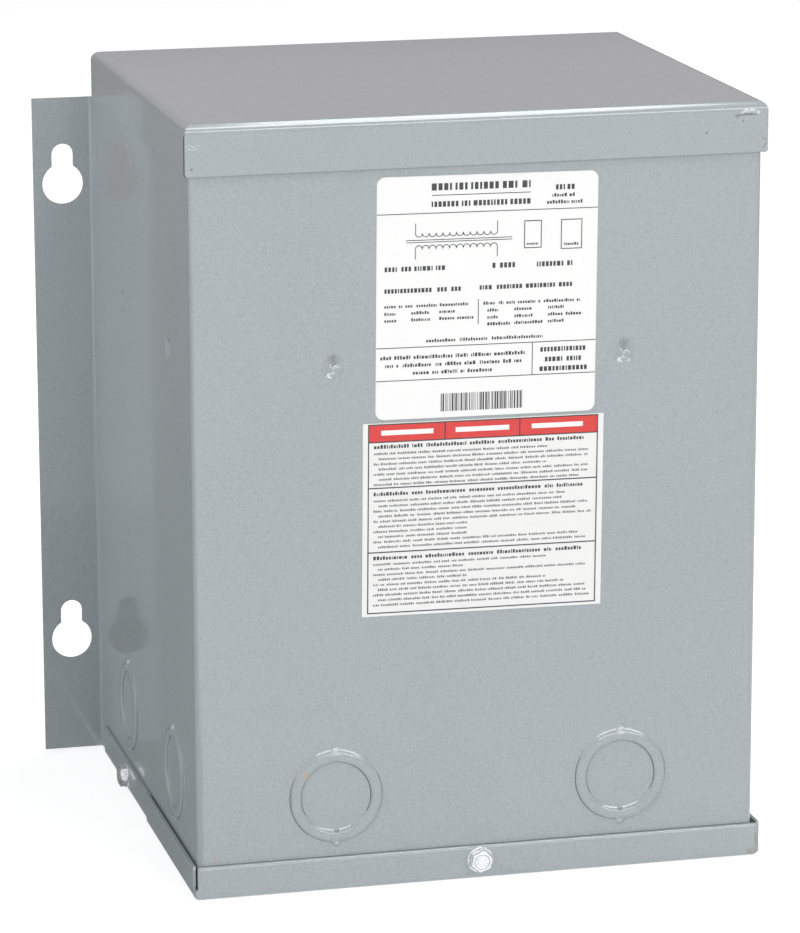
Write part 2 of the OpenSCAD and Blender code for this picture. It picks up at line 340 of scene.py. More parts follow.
class StageSettings(PropertyGroup):
    """Camera, floor and lights."""

    azimuth: FloatProperty(
        name="Azimuth",
        description="How far to the left of the front the camera stands",
        subtype="ANGLE",
        default=math.radians(13.88),
    )
    elevation: FloatProperty(
        name="Elevation",
        description="Height of the camera's view above the horizon",
        subtype="ANGLE",
        default=math.radians(13.55),
    )
    roll: FloatProperty(
        name="Roll",
        description="Roll of the camera",
        subtype="ANGLE",
        default=math.radians(0.17),
    )
    distance: FloatProperty(
        name="Distance",
        description="Distance from the camera to what it aims at",
        unit="LENGTH",
        default=1.7502,
    )
    lens: FloatProperty(
        name="Focal length",
        description="Focal length of the lens on a 36 mm wide sensor",
        unit="CAMERA",
        default=204.2,
    )
    aim: FloatVectorProperty(
        name="Aim",
        description="What the camera aims at, measured from the middle of the object",
        subtype="XYZ",
        unit="LENGTH",
        precision=4,
        default=(-0.0059, 0.0, -0.0086),
    )
    floor: FloatVectorProperty(
        name="Floor",
        description="Colour of the floor",
        subtype="COLOR",
        size=4,
        min=0,
        max=1,
        default=(0.85, 0.85, 0.85, 1),
    )
    low_card: FloatVectorProperty(
        name="Low grey card",
        description="Colour near the floor of the cards that only the object's gloss shows",
        subtype="COLOR",
        size=4,
        min=0,
        max=1,
        default=(0.15, 0.165, 0.165, 1),
    )
    # Painted shade: the dark glowing card behind the wing stands in for the shade there; only the gloss of the left
    # side sees it, through the keyholes.
    keyhole_shade_card: FloatVectorProperty(
        name="Slot card",
        description="Grey of the card that the gloss of the left side sees through the keyholes",
        subtype="COLOR",
        size=4,
        min=0,
        max=1,
        default=(0.09, 0.1, 0.1, 1),
    )
    high_card: FloatVectorProperty(
        name="High grey card",
        description="Colour level with the lid of the cards that only the object's gloss shows",
        subtype="COLOR",
        size=4,
        min=0,
        max=1,
        default=(0.5, 0.45, 0.46, 1),
    )
    sky: FloatProperty(
        name="Ambient light",
        description="Strength of the even light from all round",
        default=0.2,
    )
    front_power: FloatProperty(
        name="Front softbox",
        description="Power of the wide softbox at the front, to the right",
        unit="POWER",
        default=26.5,
    )
    strip_power: FloatProperty(
        name="Overhead strip",
        description="Power of the long strip light above the object",
        unit="POWER",
        default=54.0,
    )
    left_power: FloatProperty(
        name="Left softbox",
        description="Power of the fill softbox on the left",
        unit="POWER",
        default=26.5,
    )


GROUPS_OF_SETTINGS = {
    "transformer_paint": PaintSettings,
    "transformer_screws": ScrewSettings,
    "transformer_ties": TieSettings,
    "transformer_labels": LabelSettings,
    "transformer_stage": StageSettings,
}


# ---- Node helpers ----


def feed(tree, socket, value):
    """Links an output to a socket, or sets the socket to a plain value."""
    if isinstance(value, bpy.types.NodeSocket):
        tree.links.new(value, socket)
    else:
        socket.default_value = value


def add_node(tree, kind, inputs=None, **settings):
    """Adds a node, sets its properties and feeds its inputs by name or number."""
    made = tree.nodes.new(kind)
    for name, value in settings.items():
        setattr(made, name, value)
    for name, value in (inputs or {}).items():
        feed(tree, made.inputs[name], value)
    return made


def calc(tree, operation, *values):
    """A Math node on one, two or three values."""
    made = add_node(tree, "ShaderNodeMath", dict(enumerate(values)), operation=operation)
    return made.outputs[0]


def vector_calc(tree, operation, *values, result="Vector"):
    """A Vector Math node."""
    made = add_node(tree, "ShaderNodeVectorMath", dict(enumerate(values)), operation=operation)
    return made.outputs[result]


def blend_colour(tree, factor, first, second):
    """Mixes two colours."""
    made = add_node(tree, "ShaderNodeMix", data_type="RGBA")
    feed(tree, made.inputs["Factor"], factor)
    feed(tree, made.inputs["A"], first)
    feed(tree, made.inputs["B"], second)
    return made.outputs["Result"]


def span(tree, value, low, high, start=0.0, end=1.0):
    """Maps a value from low..high to start..end, and keeps it within them."""
    inputs = {"Value": value, "From Min": low, "From Max": high, "To Min": start, "To Max": end}
    return add_node(tree, "ShaderNodeMapRange", inputs).outputs["Result"]


def noise(tree, place, scale, detail=2.0, roughness=0.5):
    """A noise value around 0.5 at a place."""
    inputs = {"Vector": place, "Scale": scale, "Detail": detail, "Roughness": roughness}
    return add_node(tree, "ShaderNodeTexNoise", inputs).outputs["Fac"]


def start_group(name, inputs, outputs):
    """Makes a shader node group with named sockets and returns it with its two end nodes."""
    group = bpy.data.node_groups.new(name, "ShaderNodeTree")
    for direction, sockets in (("INPUT", inputs), ("OUTPUT", outputs)):
        for socket, kind in sockets.items():
            group.interface.new_socket(socket, in_out=direction, socket_type=f"NodeSocket{kind}")
    entry = group.nodes.new("NodeGroupInput")
    leave = group.nodes.new("NodeGroupOutput")
    return group, entry.outputs, leave.inputs


def use_group(tree, group, inputs):
    """Places a group in a tree, feeds it and returns its outputs."""
    return add_node(tree, "ShaderNodeGroup", inputs, node_tree=group).outputs


# ---- Shared effects ----


def powder_coat_group():
    """Orange peel, fine grain, faint mottling and uneven gloss of a powder coat."""
    inputs = {
        "Place": "Vector",
        "Paint": "Color",
        "Peel Size": "Float",
        "Peel Depth": "Float",
        "Roughness": "Float",
    }
    outputs = {"Color": "Color", "Roughness": "Float", "Height": "Float"}
    group, entry, leave = start_group("Powder Coat", inputs, outputs)
    per_peel = calc(group, "DIVIDE", 1.0, entry["Peel Size"])
    peel = noise(group, entry["Place"], per_peel, 1.5, 0.45)
    grain = noise(group, entry["Place"], calc(group, "MULTIPLY", per_peel, 3.7), 2.0, 0.6)
    cloud = noise(group, entry["Place"], 14.0, 3.0, 0.55)
    fleck = noise(group, entry["Place"], 1500.0, 2.0, 0.6)
    tone = calc(group, "ADD", span(group, cloud, 0.3, 0.7, -0.016, 0.016), 1.0)
    tone = calc(group, "ADD", tone, span(group, fleck, 0.3, 0.7, -0.09, 0.09))
    shaded = add_node(group, "ShaderNodeVectorMath", {0: entry["Paint"], "Scale": tone}, operation="SCALE")
    feed(group, leave["Color"], shaded.outputs["Vector"])
    sheen = span(group, cloud, 0.3, 0.7, -0.02, 0.02)
    sheen = calc(group, "ADD", sheen, span(group, grain, 0.3, 0.7, -0.015, 0.015))
    feed(group, leave["Roughness"], calc(group, "ADD", entry["Roughness"], sheen))
    relief = calc(group, "MULTIPLY_ADD", grain, 0.3, peel)
    feed(group, leave["Height"], calc(group, "MULTIPLY", relief, entry["Peel Depth"]))
    return group


def line_group():
    """A thin line between two places, which may wander and break up."""
    inputs = {
        "Place": "Vector",
        "Start": "Vector",
        "End": "Vector",
        "Width": "Float",
        "Wander": "Float",
        "Breaks": "Float",
    }
    group, entry, leave = start_group("Line", inputs, {"Mask": "Float"})
    along = vector_calc(group, "SUBTRACT", entry["End"], entry["Start"])
    wander = add_node(group, "ShaderNodeTexNoise", {"Vector": entry["Place"], "Scale": 350.0})
    shake = vector_calc(group, "SUBTRACT", wander.outputs["Color"], (0.5, 0.5, 0.5))
    shaken = add_node(group, "ShaderNodeVectorMath", {0: shake, "Scale": entry["Wander"]}, operation="SCALE")
    here = vector_calc(group, "ADD", entry["Place"], shaken.outputs["Vector"])
    here = vector_calc(group, "SUBTRACT", here, entry["Start"])
    run = vector_calc(group, "DOT_PRODUCT", here, along, result="Value")
    whole = vector_calc(group, "DOT_PRODUCT", along, along, result="Value")
    share = span(group, calc(group, "DIVIDE", run, whole), 0.0, 1.0)
    foot = add_node(group, "ShaderNodeVectorMath", {0: along, "Scale": share}, operation="SCALE")
    off = vector_calc(group, "DISTANCE", here, foot.outputs["Vector"], result="Value")
    ratio = calc(group, "DIVIDE", off, entry["Width"])
    line = span(group, ratio, 0.5, 1.0, 1.0, 0.0)
    whole_line = span(group, noise(group, entry["Place"], 500.0, 3.0, 0.7), 0.36, 0.52, -1.0, 0.0)
    unbroken = calc(group, "MULTIPLY_ADD", whole_line, entry["Breaks"], 1.0)
    feed(group, leave["Mask"], calc(group, "MULTIPLY", line, unbroken))
    return group


def spot_group():
    """A round spot with a ragged edge."""
    inputs = {"Place": "Vector", "Centre": "Vector", "Radius": "Float", "Softness": "Float"}
    group, entry, leave = start_group("Spot", inputs, {"Mask": "Float"})
    off = vector_calc(group, "DISTANCE", entry["Place"], entry["Centre"], result="Value")
    ragged = noise(group, entry["Place"], 1100.0, 3.0, 0.7)
    ratio = calc(group, "DIVIDE", off, entry["Radius"])
    ratio = calc(group, "ADD", ratio, span(group, ragged, 0.25, 0.75, -0.45, 0.45))
    low = calc(group, "SUBTRACT", 1.0, entry["Softness"])
    feed(group, leave["Mask"], span(group, ratio, low, 1.0, 1.0, 0.0))
    return group


def rolled_edge_group():
    """The height of a step around a centre, rolled smoothly over between two distances."""
    inputs = {"Place": "Vector", "Centre": "Vector", "Inner": "Float", "Outer": "Float", "Rise": "Float"}
    group, entry, leave = start_group("Rolled Edge", inputs, {"Height": "Float"})
    off = vector_calc(group, "DISTANCE", entry["Place"], entry["Centre"], result="Value")
    inputs = {"Value": off, "From Min": entry["Inner"], "From Max": entry["Outer"]}
    share = add_node(group, "ShaderNodeMapRange", inputs, interpolation_type="SMOOTHSTEP").outputs["Result"]
    feed(group, leave["Height"], calc(group, "MULTIPLY", share, entry["Rise"]))
    return group


def printing_group():
    """Slight unevenness of printed ink or film."""
    inputs = {"Place": "Vector", "Ink": "Color", "Unevenness": "Float"}
    group, entry, leave = start_group("Printing", inputs, {"Color": "Color", "Height": "Float"})
    cloud = noise(group, entry["Place"], 120.0, 3.0, 0.6)
    grain = noise(group, entry["Place"], 2600.0, 2.0, 0.6)
    drift = span(group, cloud, 0.3, 0.7, -1.0, 1.0)
    drift = calc(group, "MULTIPLY_ADD", span(group, grain, 0.3, 0.7, -0.5, 0.5), 1.0, drift)
    tone = calc(group, "MULTIPLY_ADD", drift, entry["Unevenness"], 1.0)
    scaled = add_node(group, "ShaderNodeVectorMath", {0: entry["Ink"], "Scale": tone}, operation="SCALE")
    feed(group, leave["Color"], scaled.outputs["Vector"])
    feed(group, leave["Height"], grain)
    return group


def head_shade_lines_group():
    """Painted shade: thin dark lines round the foot and the rim of a hexagon head and round its dish."""
    inputs = {
        "Place": "Vector",
        "Centre": "Vector",
        "Across": "Vector",
        "Turn": "Float",
        "Head Width": "Float",
        "Dish Width": "Float",
    }
    group, entry, leave = start_group("Head Shade Lines", inputs, {"Mask": "Float"})
    off = vector_calc(group, "SUBTRACT", entry["Place"], entry["Centre"])
    across = vector_calc(group, "DOT_PRODUCT", off, entry["Across"], result="Value")
    up = vector_calc(group, "DOT_PRODUCT", off, (0, 0, 1), result="Value")
    reach = 0.0
    for flat in (30, 90, 150):
        angle = calc(group, "ADD", entry["Turn"], math.radians(flat))
        share = calc(group, "MULTIPLY", across, calc(group, "COSINE", angle))
        share = calc(group, "MULTIPLY_ADD", up, calc(group, "SINE", angle), share)
        reach = calc(group, "MAXIMUM", reach, calc(group, "ABSOLUTE", share))
    turn = calc(group, "SQRT", calc(group, "MULTIPLY_ADD", up, up, calc(group, "MULTIPLY", across, across)))
    half_head = calc(group, "MULTIPLY", entry["Head Width"], 0.5)
    half_dish = calc(group, "MULTIPLY", entry["Dish Width"], 0.5)
    rings = (
        (reach, calc(group, "ADD", half_head, 0.2 * MM), 0.15 * MM, 1.0),
        (reach, calc(group, "SUBTRACT", half_head, 0.2 * MM), 0.2 * MM, 0.85),
        (turn, half_dish, 0.2 * MM, 0.8),
    )
    mask = 0.0
    for distance, level, width, strength in rings:
        gap = calc(group, "ABSOLUTE", calc(group, "SUBTRACT", distance, level))
        mask = calc(group, "MAXIMUM", mask, span(group, gap, 0.3 * width, width, strength, 0.0))
    worn = span(group, noise(group, entry["Place"], 900.0, 3.0, 0.7), 0.3, 0.6, 0.55, 1.0)
    feed(group, leave["Mask"], calc(group, "MULTIPLY", mask, worn))
    return group


EFFECTS = {}


def effect(name):
    """A shared effect, built the first time that it is asked for."""
    makers = {
        "coat": powder_coat_group,
        "line": line_group,
        "spot": spot_group,
        "rolled edge": rolled_edge_group,
        "printing": printing_group,
        "head shade lines": head_shade_lines_group,
    }
    if name not in EFFECTS:
        EFFECTS[name] = makers[name]()
    return EFFECTS[name]


# ---- Materials ----


def start_material(name):
    """An empty material with its shader, its tree and the place in the object's own frame."""
    material = bpy.data.materials.new(name)
    material.use_nodes = True
    tree = material.node_tree
    shader = tree.nodes["Principled BSDF"]
    place = tree.nodes.new("ShaderNodeTexCoord").outputs["Object"]
    return material, tree, shader, place


def rounded_normal(tree, radius, height):
    """Rounds sharp edges in the shading and adds the relief of a height in metres."""
    edge = add_node(tree, "ShaderNodeBevel", {"Radius": radius}, samples=6).outputs["Normal"]
    relief = add_node(tree, "ShaderNodeBump", {"Height": height, "Distance": 1.0, "Normal": edge})
    return relief.outputs["Normal"]


def painted_metal(name, paint, lines=(), spots=(), rolls=(), rounding=None):
    """Powder-coated steel. Lines and spots lie at places in the part's frame.

    A line has its points, half its width, how far it wanders, how much it breaks up, a colour
    and a cover; a spot has its centre, radius, softness, colour and cover. A roll has its
    centre, the directions that count, its inner and outer distance and its rise, and is
    repeated on the other side of the part.
    """
    settings = bpy.context.scene.transformer_paint
    material, tree, shader, place = start_material(name)
    inputs = {
        "Place": place,
        "Paint": paint,
        "Peel Size": settings.peel_size,
        "Peel Depth": settings.peel_depth,
        "Roughness": settings.roughness,
    }
    coat = use_group(tree, effect("coat"), inputs)
    colour, rough, height = coat["Color"], coat["Roughness"], coat["Height"]
    marks = []
    for points, width, wander, breaks, tone, cover in lines:
        for start, end in zip(points, points[1:]):
            inputs = {"Place": place, "Start": start, "End": end}
            inputs |= {"Width": width, "Wander": wander, "Breaks": breaks}
            marks.append((use_group(tree, effect("line"), inputs)["Mask"], tone, cover))
    for centre, radius, softness, tone, cover in spots:
        inputs = {"Place": place, "Centre": centre, "Radius": radius, "Softness": softness}
        marks.append((use_group(tree, effect("spot"), inputs)["Mask"], tone, cover))
    for mask, tone, cover in marks:
        mask = calc(tree, "MULTIPLY", mask, cover)
        colour = blend_colour(tree, mask, colour, tone)
        rough = calc(tree, "MULTIPLY_ADD", mask, 0.3, rough)
        height = calc(tree, "MULTIPLY_ADD", mask, -0.01 * MM, height)
    both_sides = vector_calc(tree, "MULTIPLY", vector_calc(tree, "ABSOLUTE", place), (1, 0, 0))
    both_sides = vector_calc(tree, "MULTIPLY_ADD", place, (0, 1, 1), both_sides)
    for centre, directions, inner, outer, rise in rolls:
        counted = vector_calc(tree, "MULTIPLY", both_sides, directions)
        inputs = {"Place": counted, "Centre": centre, "Inner": inner, "Outer": outer, "Rise": rise}
        height = calc(tree, "ADD", height, use_group(tree, effect("rolled edge"), inputs)["Height"])
    feed(tree, shader.inputs["Base Color"], colour)
    feed(tree, shader.inputs["Roughness"], rough)
    shader.inputs["Specular IOR Level"].default_value = 0.65
    feed(tree, shader.inputs["Normal"], rounded_normal(tree, rounding or settings.edge_round, height))
    return material


def zinc_plate(name, centre, across, turn):
    """Bright zinc plate with painted shade lines in the corners of a head that is turned by an angle."""
    settings = bpy.context.scene.transformer_screws
    material, tree, shader, place = start_material(name)
    cloud = noise(tree, place, 420.0, 3.0, 0.6)
    marks = noise(tree, vector_calc(tree, "MULTIPLY", place, (1.0, 1.0, 6.0)), 1500.0, 3.0, 0.7)
    faded = tuple(0.86 * part for part in settings.zinc[:3]) + (1.0,)
    colour = blend_colour(tree, span(tree, cloud, 0.35, 0.7), settings.zinc, faded)
    inputs = {
        "Place": place,
        "Centre": centre,
        "Across": across,
        "Turn": turn,
        "Head Width": settings.head_width,
        "Dish Width": settings.dish_width,
    }
    # Painted shade lines round the head.
    lines = use_group(tree, effect("head shade lines"), inputs)["Mask"]
    feed(tree, shader.inputs["Base Color"], blend_colour(tree, lines, colour, settings.shaded_zinc))
    low, high = settings.roughness - 0.07, settings.roughness + 0.1
    feed(tree, shader.inputs["Roughness"], span(tree, marks, 0.2, 0.8, low, high))
    shader.inputs["Metallic"].default_value = 0.65
    height = calc(tree, "MULTIPLY", marks, 0.01 * MM)
    feed(tree, shader.inputs["Normal"], rounded_normal(tree, settings.edge_round, height))
    return material


def potting_resin():
    """Dark sand-filled resin."""
    material, tree, shader, place = start_material("sand_filled_resin")
    grit = noise(tree, place, 900.0, 4.0, 0.7)
    tone = span(tree, grit, 0.3, 0.75)
    feed(tree, shader.inputs["Base Color"], blend_colour(tree, tone, (0.03, 0.028, 0.026, 1), (0.085, 0.078, 0.07, 1)))
    feed(tree, shader.inputs["Roughness"], span(tree, grit, 0.3, 0.7, 0.55, 0.8))
    height = calc(tree, "MULTIPLY", grit, 0.15 * MM)
    feed(tree, shader.inputs["Normal"], rounded_normal(tree, 0.5 * MM, height))
    return material


def label_surface(name, colour, unevenness, roughness):
    """Film or ink of a label."""
    material, tree, shader, place = start_material(name)
    inputs = {"Place": place, "Ink": colour, "Unevenness": unevenness}
    printed = use_group(tree, effect("printing"), inputs)
    feed(tree, shader.inputs["Base Color"], printed["Color"])
    shader.inputs["Roughness"].default_value = roughness
    relief = {"Height": printed["Height"], "Distance": 0.003 * MM}
    feed(tree, shader.inputs["Normal"], add_node(tree, "ShaderNodeBump", relief).outputs["Normal"])
    return material


def dress(node, material):
    """Gives a CAD node its material."""
    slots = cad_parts[node].data.materials
    slots.clear()
    slots.append(material)


def add_piece(name, mesh, material):
    """Adds a finished mesh as a piece that rides with the case."""
    piece = bpy.data.objects.new(name, mesh)
    bpy.context.scene.collection.objects.link(piece)
    mesh.materials.append(material)
    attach(piece, BODY)
    return piece


# ---- Printing ----


class Print:
    """Ink on a label: flat shapes in millimetres from the middle of the label's lower edge."""

    def __init__(self, node):
        labels = bpy.context.scene.transformer_labels
        low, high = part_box(node)
        cos, sin = math.cos(labels.lean), math.sin(labels.lean)
        width, height = high.x - low.x, high.z - low.z
        self.height = (height * cos - width * sin) / (cos * cos - sin * sin)
        self.width = (width * cos - height * sin) / (cos * cos - sin * sin)
        middle = Matrix.Translation(((low.x + high.x) / 2, low.y, (low.z + high.z) / 2))
        drop = Matrix.Translation((0, 0, -self.height / 2))
        self.place = middle @ Matrix.Rotation(labels.lean, 4, "Y") @ drop
        self.depth = labels.ink_depth
        self.form = bmesh.new()
        self.layer = 0
        self.draw = random.Random(5)

    def shape(self, outline):
        """A flat shape with its corners in order, anticlockwise as seen from the front."""
        back = -self.layer * self.depth
        front = back - self.depth
        rings = [
            [self.form.verts.new(self.place @ Vector((x * MM, y, z * MM))) for x, z in outline]
            for y in (front, back + 0.5 * self.depth)
        ]
        self.form.faces.new(rings[0])
        self.form.faces.new(reversed(rings[1]))
        count = len(outline)
        for i in range(count):
            j = (i + 1) % count
            self.form.faces.new((rings[0][j], rings[0][i], rings[1][i], rings[1][j]))

    def bar(self, left, bottom, right, top):
        self.shape(((left, bottom), (right, bottom), (right, top), (left, top)))

    def box(self, left, bottom, right, top, line):
        """A ruled frame."""
        self.bar(left, bottom, right, bottom + line)
        self.bar(left, top - line, right, top)
        self.bar(left, bottom + line, left + line, top - line)
        self.bar(right - line, bottom + line, right, top - line)

    def stroke(self, points, line):
        """A line of even width through the points."""
        for (x0, z0), (x1, z1) in zip(points, points[1:]):
            length = math.hypot(x1 - x0, z1 - z0)
            ux, uz = (x1 - x0) / length * line / 2, (z1 - z0) / length * line / 2
            self.shape(
                (
                    (x0 - ux + uz, z0 - uz - ux),
                    (x1 + ux + uz, z1 + uz - ux),
                    (x1 + ux - uz, z1 + uz + ux),
                    (x0 - ux - uz, z0 - uz + ux),
                )
            )

    def words(self, left, bottom, right, tall, lengths, gap):
        """Fills a line with words of plain blocks; lengths repeat until the line is full."""
        x = left
        turn = 0
        while x < right - gap:
            end = min(x + lengths[turn % len(lengths)], right)
            self.word(x, bottom, end, tall)
            x = end + gap
            turn += 1

    def word(self, left, bottom, right, tall):
        """Upright blocks of a few widths and heights, which stand for nothing."""
        x = left
        while x < right - 0.2 * tall:
            wide = min(self.draw.choice((0.3, 0.5, 0.58, 0.58, 0.72)) * tall, right - x)
            level = self.draw.choice((1.0, 0.76, 0.76)) if tall < 1.5 else 1.0
            self.bar(x, bottom, x + wide, bottom + level * tall)
            x += wide + 0.24 * tall

    def finish(self, name, material):
        bmesh.ops.recalc_face_normals(self.form, faces=self.form.faces)
        mesh = bpy.data.meshes.new(name)
        self.form.to_mesh(mesh)
        self.form.free()
        return add_piece(name, mesh, material)


def coil_symbol(ink, middle, upper, lower, turns, radius, line):
    """Two plain windings that face each other over the two lines of a core."""
    width = turns * 2 * radius
    for level, way in ((upper, 1), (lower, -1)):
        points = [(middle - width / 2, level + way * 3.6)]
        for turn in range(turns):
            centre = middle - width / 2 + (2 * turn + 1) * radius
            for step in range(7):
                angle = math.pi * (1 - step / 6)
                points.append(
                    (centre + radius * math.cos(angle), level - way * radius * math.sin(angle))
                )
        points.append((middle + width / 2, level + way * 3.6))
        ink.stroke([p for i, p in enumerate(points) if i == 0 or p != points[i - 1]], line)
    for offset in (-0.4, 0.4):
        z = (upper + lower) / 2 + offset
        ink.bar(middle - width / 2 - 3.5, z - line / 2, middle + width / 2 + 5.5, z + line / 2)


def bar_pattern(ink, left, bottom, right, top):
    """Upright bars of a few widths at even steps, which stand for nothing."""
    draw = random.Random(7)
    x = left
    while x < right:
        wide = draw.choice((0.2, 0.2, 0.4, 0.6))
        ink.bar(x, bottom, min(x + wide, right), top)
        x += wide + draw.choice((0.25, 0.25, 0.45))


# ---- Operators ----


def knockout_centres():
    """Centres of the front knockout and of the two side knockouts on the right."""
    centres = []
    for knockout in ("front_right", "right_front", "right_rear"):
        low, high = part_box(f"disc_{knockout}")
        centre = (low + high) / 2
        if knockout.startswith("front"):
            centre.y = low.y
        else:
            centre.x = high.x
        centres.append(tuple(centre))
    return centres


class TRANSFORMER_OT_case_paint(Operator):
    """Powder-coats the case, the covers and the knockouts, and adds their wear, painted shade and painted highlights
    """

    bl_idname = "transformer.case_paint"
    bl_label = "Paint the Case"

    def execute(self, context):
        settings = context.scene.transformer_paint
        dress("wrapper", self.case_coat(settings))
        dress("lid", self.lid_coat(settings))
        dress("bottom_cover", self.cover_coat(settings))
        dress("back_panel", painted_metal("back_coat", settings.shade))
        knockout = self.knockout_coat(settings)
        for place in KNOCKOUTS:
            dress(f"ring_{place}", knockout)
            dress(f"disc_{place}", knockout)
        return {"FINISHED"}

    @staticmethod
    def case_coat(settings):
        wall_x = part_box("disc_left_rear")[0].x
        front_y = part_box("disc_front_left")[0].y
        flange_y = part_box("wrapper")[1].y - 1.5 * MM
        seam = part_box("bottom_cover")[1].z
        lid_low, lid_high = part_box("lid")

        def on_side(y, z):
            return (wall_x, y * MM, z * MM)

        def on_flange(x, z):
            return (x * MM, flange_y, z * MM)

        scratch = [on_side(*spot) for spot in ((27, 262), (21.6, 261), (18.1, 258.5), (16.9, 256.4), (12.3, 255.2))]
        tail = [on_side(*spot) for spot in ((1.3, 249.1), (-1, 250.2), (-4.8, 249.8))]
        # Painted shade: soft dark spots in the upper hollow of each dimple, above the tie points.
        shaded_hollows = []
        for x, y, _ in knockout_centres():
            z = bpy.context.scene.transformer_ties.height + 2.6 * MM
            shaded_hollows += [(x, y, z), (-x, y, z)]
        # Painted shade: a dark line down the case's front corner bend, in the gap behind the lid's corner slot.
        bend = (wall_x + 1.0 * MM, front_y + 1.0 * MM)
        slot_shade = [(*bend, lid_high.z), (*bend, lid_low.z + 3 * MM)]
        return painted_metal(
            "case_coat",
            settings.paint,
            lines=(
                (scratch, 0.3 * MM, 1.0 * MM, 0.8, settings.scraped_and_highlight, 0.6),
                (tail, 0.3 * MM, 1.4 * MM, 1.0, settings.scraped_and_highlight, 0.35),
                # Painted shade behind the lid's corner slot.
                (slot_shade, 2.8 * MM, 0.0, 0.0, settings.grime_and_shade, 0.9),
                # Painted shade: a dark line on the case along the top edge of the bottom cover's front lip.
                (
                    [(wall_x, front_y, seam), (-wall_x, front_y, seam)],
                    0.35 * MM,
                    0.1 * MM,
                    0.0,
                    settings.grime_and_shade,
                    0.45,
                ),
            ),
            spots=(
                (on_side(-1.9, 252.4), 0.8 * MM, 0.6, settings.scraped_and_highlight, 0.5),
                ((-0.1065, front_y, 0.0327), 0.4 * MM, 0.3, settings.scraped_and_highlight, 0.8),
                ((-0.1004, front_y, 0.0157), 1.3 * MM, 0.9, settings.rust, 0.4),
                (on_flange(-111.8, 231), 1.6 * MM, 0.9, settings.stain, 0.4),
                (on_flange(-111.4, 45), 1.6 * MM, 0.9, settings.stain, 0.4),
                (on_flange(-111.6, 41), 1.2 * MM, 0.9, settings.stain, 0.3),
                # Painted shade in the dimples' upper hollows.
                *((shaded_hollow, 2.9 * MM, 1.0, settings.grime_and_shade, 0.45) for shaded_hollow in shaded_hollows),
            ),
        )

    @staticmethod
    def lid_coat(settings):
        low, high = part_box("lid")

        def on_lip(x, z):
            return (x * MM, low.y, high.z + z * MM)

        def trail(*spots):
            return [on_lip(*spot) for spot in spots]

        waves = (
            trail((-107.9, -7.8), (-106.2, -7.3), (-104.8, -8.0), (-103.6, -7.4), (-102.6, -7.8)),
            trail((-107.5, -9.2), (-106.3, -8.5), (-105.4, -9.2), (-104.4, -8.6), (-103.4, -9.0)),
        )
        knock = trail((95.6, -5.1), (97.5, -4.7), (99.4, -4.6), (101.4, -4.7), (103.4, -4.9))
        scuff = trail((97.5, -3.9), (99.5, -3.0), (102.0, -3.2), (104.5, -4.0))
        # Painted shade: a dark line on the cut face of the side lip, in the lid's corner slot.
        cut = (low.x + 0.1 * MM, low.y + 2.2 * MM)
        slot_shade = [(*cut, high.z - 5 * MM), (*cut, low.z)]
        edge = trail((105.9, -13.6), (107.7, -14.2))
        low_edge = trail((107.4, -15.2), (106.2, -17.2))
        return painted_metal(
            "lid_coat",
            settings.paint,
            lines=(
                *((points, 0.22 * MM, 0.5 * MM, 0.4, settings.scraped_and_highlight, 0.55) for points in waves),
                (knock, 0.4 * MM, 0.5 * MM, 0.5, settings.grime_and_shade, 0.75),
                (scuff, 0.7 * MM, 1.6 * MM, 0.9, settings.scraped_and_highlight, 0.8),
                (edge, 0.4 * MM, 0.5 * MM, 0.6, settings.stain, 0.8),
                (low_edge, 0.3 * MM, 0.8 * MM, 1.0, settings.grime_and_shade, 0.45),
                # Painted shade in the lid's corner slot.
                (slot_shade, 0.8 * MM, 0.0, 0.0, settings.grime_and_shade, 0.95),
            ),
            spots=(
                (on_lip(84.7, -10.9), 0.6 * MM, 0.6, settings.grime_and_shade, 0.6),
                (on_lip(-105.8, -15.9), 0.6 * MM, 0.6, settings.grime_and_shade, 0.6),
                (on_lip(98.5, -7.1), 0.5 * MM, 0.6, settings.grime_and_shade, 0.5),
                (on_lip(96.3, -5.6), 0.5 * MM, 0.6, settings.grime_and_shade, 0.5),
                (on_lip(68.7, -4.8), 0.4 * MM, 0.5, settings.grime_and_shade, 0.35),
            ),
        )

    @staticmethod
    def cover_coat(settings):
        low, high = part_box("bottom_cover")
        return painted_metal(
            "cover_coat",
            settings.paint,
            lines=(
                (
                    [(107.5 * MM, low.y, 9 * MM), (107.8 * MM, low.y, 0)],
                    0.5 * MM,
                    0.6 * MM,
                    0.8,
                    settings.stain,
                    0.6,
                ),
            ),
            spots=(
                ((-110.5 * MM, low.y, 11.1 * MM), 0.5 * MM, 0.5, settings.scraped_and_highlight, 0.7),
                ((105.6 * MM, low.y, 2.0 * MM), 2.2 * MM, 0.9, settings.stain, 0.5),
            ),
            rolls=(((0, 0, 0), (0, 0, 1), high.z - 1.3 * MM, high.z + 0.2 * MM, -0.5 * MM),),
            rounding=settings.edge_round,
        )

    @staticmethod
    def knockout_coat(settings):
        low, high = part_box("ring_front_left")
        spot = (low + high) / 2 + Vector((-11.6, 0, 9.0)) * MM
        spot.y = low.y

        def below(centre):
            return (centre[0], centre[1], centre[2] - 0.35 * MM)

